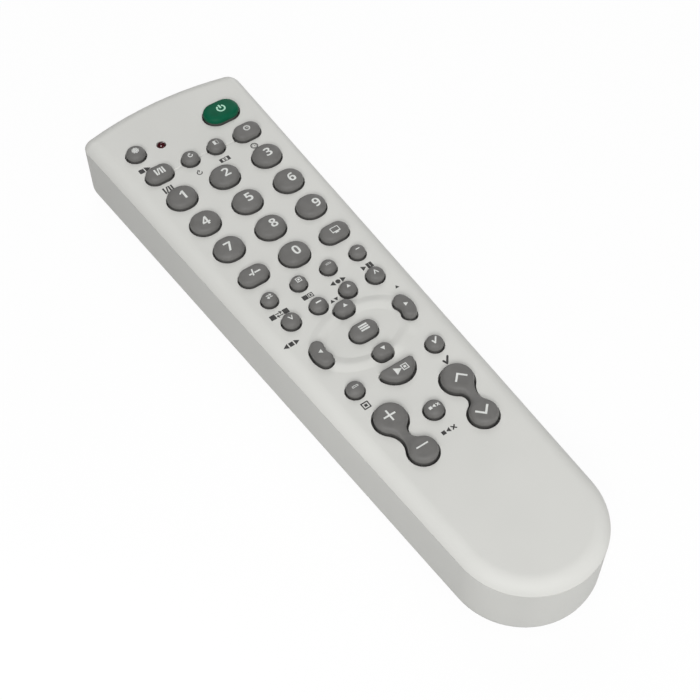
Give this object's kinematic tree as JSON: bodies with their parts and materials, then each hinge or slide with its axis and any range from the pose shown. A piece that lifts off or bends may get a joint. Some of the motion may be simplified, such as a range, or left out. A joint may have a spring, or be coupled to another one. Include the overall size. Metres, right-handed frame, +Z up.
{
  "type": "handheld remote control",
  "caption": "Slim handheld infrared remote control with a tapered white case, rounded tail, domed rubber keys, two rocker keys, an oval navigation ring and a sliding battery door.",
  "frame": {"origin": "middle of the resting face under the case", "axes": "+Y along the case towards the infrared head, +Z up through the key face, +X to the user's right"},
  "size_m": [0.0482, 0.179, 0.0225],
  "materials": {
    "shell_white": "fine matt moulded",
    "key_grey": "satin silicone",
    "key_green": "satin silicone",
    "mat_rubber": "matt",
    "board": "solder resist",
    "clear_resin": "polished",
    "red_lens": "polished",
    "black_epoxy": "satin",
    "ceramic_tan": "satin",
    "sleeve_dark": "smooth",
    "cell_jacket": "smooth",
    "spring_steel": "plated"
  },
  "bodies": {
    "case": {"top_shell": "shell_white", "bottom_shell": "shell_white", "keypad_mat": "mat_rubber", "circuit_board": "board", "ir_led": "clear_resin", "indicator_led": "red_lens", "controller_chip": "black_epoxy", "resonator": "ceramic_tan", "capacitor": "sleeve_dark", "transistor": "black_epoxy", "resistors": "ceramic_tan", "battery_cell_left": "cell_jacket", "battery_cell_right": "cell_jacket", "battery_springs": "spring_steel", "battery_plates": "spring_steel", "case_screws": "spring_steel"},
    "key_power": {"key_power": "key_green"},
    "key_set": {"key_set": "key_grey"},
    "key_dual_sound": {"key_dual_sound": "key_grey"},
    "key_system": {"key_system": "key_grey"},
    "key_picture_mode": {"key_picture_mode": "key_grey"},
    "key_timer": {"key_timer": "key_grey"},
    "key_1": {"key_1": "key_grey"},
    "key_2": {"key_2": "key_grey"},
    "key_3": {"key_3": "key_grey"},
    "key_4": {"key_4": "key_grey"},
    "key_5": {"key_5": "key_grey"},
    "key_6": {"key_6": "key_grey"},
    "key_7": {"key_7": "key_grey"},
    "key_8": {"key_8": "key_grey"},
    "key_9": {"key_9": "key_grey"},
    "key_0": {"key_0": "key_grey"},
    "key_dash": {"key_dash": "key_grey"},
    "key_recall": {"key_recall": "key_grey"},
    "key_exchange": {"key_exchange": "key_grey"},
    "key_inset": {"key_inset": "key_grey"},
    "key_normal": {"key_normal": "key_grey"},
    "key_call": {"key_call": "key_grey"},
    "key_chevron_down": {"key_chevron_down": "key_grey"},
    "key_bar": {"key_bar": "key_grey"},
    "key_triangle": {"key_triangle": "key_grey"},
    "key_chevron_up": {"key_chevron_up": "key_grey"},
    "key_nav_up": {"key_nav_up": "key_grey"},
    "key_nav_down": {"key_nav_down": "key_grey"},
    "key_nav_left": {"key_nav_left": "key_grey"},
    "key_nav_right": {"key_nav_right": "key_grey"},
    "key_menu": {"key_menu": "key_grey"},
    "key_source": {"key_source": "key_grey"},
    "key_window": {"key_window": "key_grey"},
    "key_confirm": {"key_confirm": "key_grey"},
    "key_mute": {"key_mute": "key_grey"},
    "rocker_volume": {"rocker_volume": "key_grey"},
    "rocker_channel": {"rocker_channel": "key_grey"},
    "battery_door": {"battery_door": "shell_white"}
  },
  "joints": [
    {"name": "battery_door_slide", "type": "slide", "parent": "case", "child": "battery_door", "axis": [0, -1, 0], "range_m": [0, 0.07]},
    {"name": "rocker_channel_tilt", "type": "hinge", "parent": "case", "child": "rocker_channel", "pos_m": [0.00915, -0.03935, 0.018], "axis": [1, 0, 0], "range_deg": [-3.5, 3.5], "stiffness_Nm_per_rad": 0.09},
    {"name": "rocker_volume_tilt", "type": "hinge", "parent": "case", "child": "rocker_volume", "pos_m": [-0.00915, -0.03935, 0.018], "axis": [1, 0, 0], "range_deg": [-3.5, 3.5], "stiffness_Nm_per_rad": 0.09},
    {"name": "key_power_press", "type": "slide", "parent": "case", "child": "key_power", "axis": [0, 0, -1], "range_m": [0, 0.0008], "stiffness_N_per_m": 400},
    {"name": "key_set_press", "type": "slide", "parent": "case", "child": "key_set", "axis": [0, 0, -1], "range_m": [0, 0.0008], "stiffness_N_per_m": 400},
    {"name": "key_dual_sound_press", "type": "slide", "parent": "case", "child": "key_dual_sound", "axis": [0, 0, -1], "range_m": [0, 0.0008], "stiffness_N_per_m": 400},
    {"name": "key_system_press", "type": "slide", "parent": "case", "child": "key_system", "axis": [0, 0, -1], "range_m": [0, 0.0008], "stiffness_N_per_m": 400},
    {"name": "key_picture_mode_press", "type": "slide", "parent": "case", "child": "key_picture_mode", "axis": [0, 0, -1], "range_m": [0, 0.0008], "stiffness_N_per_m": 400},
    {"name": "key_timer_press", "type": "slide", "parent": "case", "child": "key_timer", "axis": [0, 0, -1], "range_m": [0, 0.0008], "stiffness_N_per_m": 400},
    {"name": "key_1_press", "type": "slide", "parent": "case", "child": "key_1", "axis": [0, 0, -1], "range_m": [0, 0.0008], "stiffness_N_per_m": 400},
    {"name": "key_2_press", "type": "slide", "parent": "case", "child": "key_2", "axis": [0, 0, -1], "range_m": [0, 0.0008], "stiffness_N_per_m": 400},
    {"name": "key_3_press", "type": "slide", "parent": "case", "child": "key_3", "axis": [0, 0, -1], "range_m": [0, 0.0008], "stiffness_N_per_m": 400},
    {"name": "key_4_press", "type": "slide", "parent": "case", "child": "key_4", "axis": [0, 0, -1], "range_m": [0, 0.0008], "stiffness_N_per_m": 400},
    {"name": "key_5_press", "type": "slide", "parent": "case", "child": "key_5", "axis": [0, 0, -1], "range_m": [0, 0.0008], "stiffness_N_per_m": 400},
    {"name": "key_6_press", "type": "slide", "parent": "case", "child": "key_6", "axis": [0, 0, -1], "range_m": [0, 0.0008], "stiffness_N_per_m": 400},
    {"name": "key_7_press", "type": "slide", "parent": "case", "child": "key_7", "axis": [0, 0, -1], "range_m": [0, 0.0008], "stiffness_N_per_m": 400},
    {"name": "key_8_press", "type": "slide", "parent": "case", "child": "key_8", "axis": [0, 0, -1], "range_m": [0, 0.0008], "stiffness_N_per_m": 400},
    {"name": "key_9_press", "type": "slide", "parent": "case", "child": "key_9", "axis": [0, 0, -1], "range_m": [0, 0.0008], "stiffness_N_per_m": 400},
    {"name": "key_0_press", "type": "slide", "parent": "case", "child": "key_0", "axis": [0, 0, -1], "range_m": [0, 0.0008], "stiffness_N_per_m": 400},
    {"name": "key_dash_press", "type": "slide", "parent": "case", "child": "key_dash", "axis": [0, 0, -1], "range_m": [0, 0.0008], "stiffness_N_per_m": 400},
    {"name": "key_recall_press", "type": "slide", "parent": "case", "child": "key_recall", "axis": [0, 0, -1], "range_m": [0, 0.0008], "stiffness_N_per_m": 400},
    {"name": "key_exchange_press", "type": "slide", "parent": "case", "child": "key_exchange", "axis": [0, 0, -1], "range_m": [0, 0.0008], "stiffness_N_per_m": 400},
    {"name": "key_inset_press", "type": "slide", "parent": "case", "child": "key_inset", "axis": [0, 0, -1], "range_m": [0, 0.0008], "stiffness_N_per_m": 400},
    {"name": "key_normal_press", "type": "slide", "parent": "case", "child": "key_normal", "axis": [0, 0, -1], "range_m": [0, 0.0008], "stiffness_N_per_m": 400},
    {"name": "key_call_press", "type": "slide", "parent": "case", "child": "key_call", "axis": [0, 0, -1], "range_m": [0, 0.0008], "stiffness_N_per_m": 400},
    {"name": "key_chevron_down_press", "type": "slide", "parent": "case", "child": "key_chevron_down", "axis": [0, 0, -1], "range_m": [0, 0.0008], "stiffness_N_per_m": 400},
    {"name": "key_bar_press", "type": "slide", "parent": "case", "child": "key_bar", "axis": [0, 0, -1], "range_m": [0, 0.0008], "stiffness_N_per_m": 400},
    {"name": "key_triangle_press", "type": "slide", "parent": "case", "child": "key_triangle", "axis": [0, 0, -1], "range_m": [0, 0.0008], "stiffness_N_per_m": 400},
    {"name": "key_chevron_up_press", "type": "slide", "parent": "case", "child": "key_chevron_up", "axis": [0, 0, -1], "range_m": [0, 0.0008], "stiffness_N_per_m": 400},
    {"name": "key_nav_up_press", "type": "slide", "parent": "case", "child": "key_nav_up", "axis": [0, 0, -1], "range_m": [0, 0.0008], "stiffness_N_per_m": 400},
    {"name": "key_nav_down_press", "type": "slide", "parent": "case", "child": "key_nav_down", "axis": [0, 0, -1], "range_m": [0, 0.0008], "stiffness_N_per_m": 400},
    {"name": "key_nav_left_press", "type": "slide", "parent": "case", "child": "key_nav_left", "axis": [0, 0, -1], "range_m": [0, 0.0008], "stiffness_N_per_m": 400},
    {"name": "key_nav_right_press", "type": "slide", "parent": "case", "child": "key_nav_right", "axis": [0, 0, -1], "range_m": [0, 0.0008], "stiffness_N_per_m": 400},
    {"name": "key_menu_press", "type": "slide", "parent": "case", "child": "key_menu", "axis": [0, 0, -1], "range_m": [0, 0.0008], "stiffness_N_per_m": 400},
    {"name": "key_source_press", "type": "slide", "parent": "case", "child": "key_source", "axis": [0, 0, -1], "range_m": [0, 0.0008], "stiffness_N_per_m": 400},
    {"name": "key_window_press", "type": "slide", "parent": "case", "child": "key_window", "axis": [0, 0, -1], "range_m": [0, 0.0008], "stiffness_N_per_m": 400},
    {"name": "key_confirm_press", "type": "slide", "parent": "case", "child": "key_confirm", "axis": [0, 0, -1], "range_m": [0, 0.0008], "stiffness_N_per_m": 400},
    {"name": "key_mute_press", "type": "slide", "parent": "case", "child": "key_mute", "axis": [0, 0, -1], "range_m": [0, 0.0008], "stiffness_N_per_m": 400}
  ]
}
